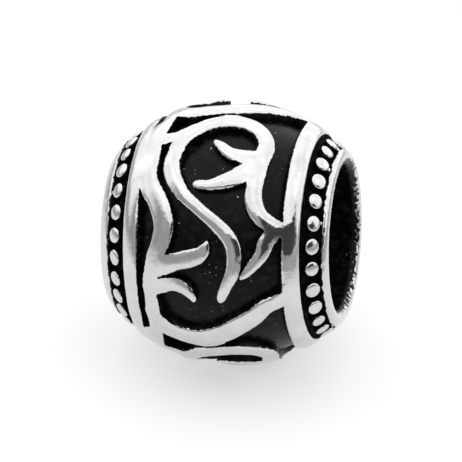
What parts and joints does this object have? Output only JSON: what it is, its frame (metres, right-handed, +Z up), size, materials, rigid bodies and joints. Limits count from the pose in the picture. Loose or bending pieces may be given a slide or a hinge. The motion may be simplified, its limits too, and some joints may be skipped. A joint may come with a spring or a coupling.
{
  "type": "charm bead",
  "caption": "Barrel-shaped large-hole charm bead with raised vine scrollwork between plain bands, a channel of small buttons by each end and rounded mouths.",
  "frame": {"origin": "point of the resting surface under the middle of the bead, which lies on its belly", "axes": "+Z up; the bore runs in the XZ plane, leaning 6.1 degrees up towards +X, as the bead lies by itself; -Y is the side seen in the picture"},
  "size_m": [0.0102, 0.0111, 0.0111],
  "materials": {
    "polished_steel": "polished and bright on all raised metal, blackened satin in the sunk ground, the channels and the bore"
  },
  "bodies": {
    "root": {"charm_bead": "polished_steel"}
  },
  "joints": []
}
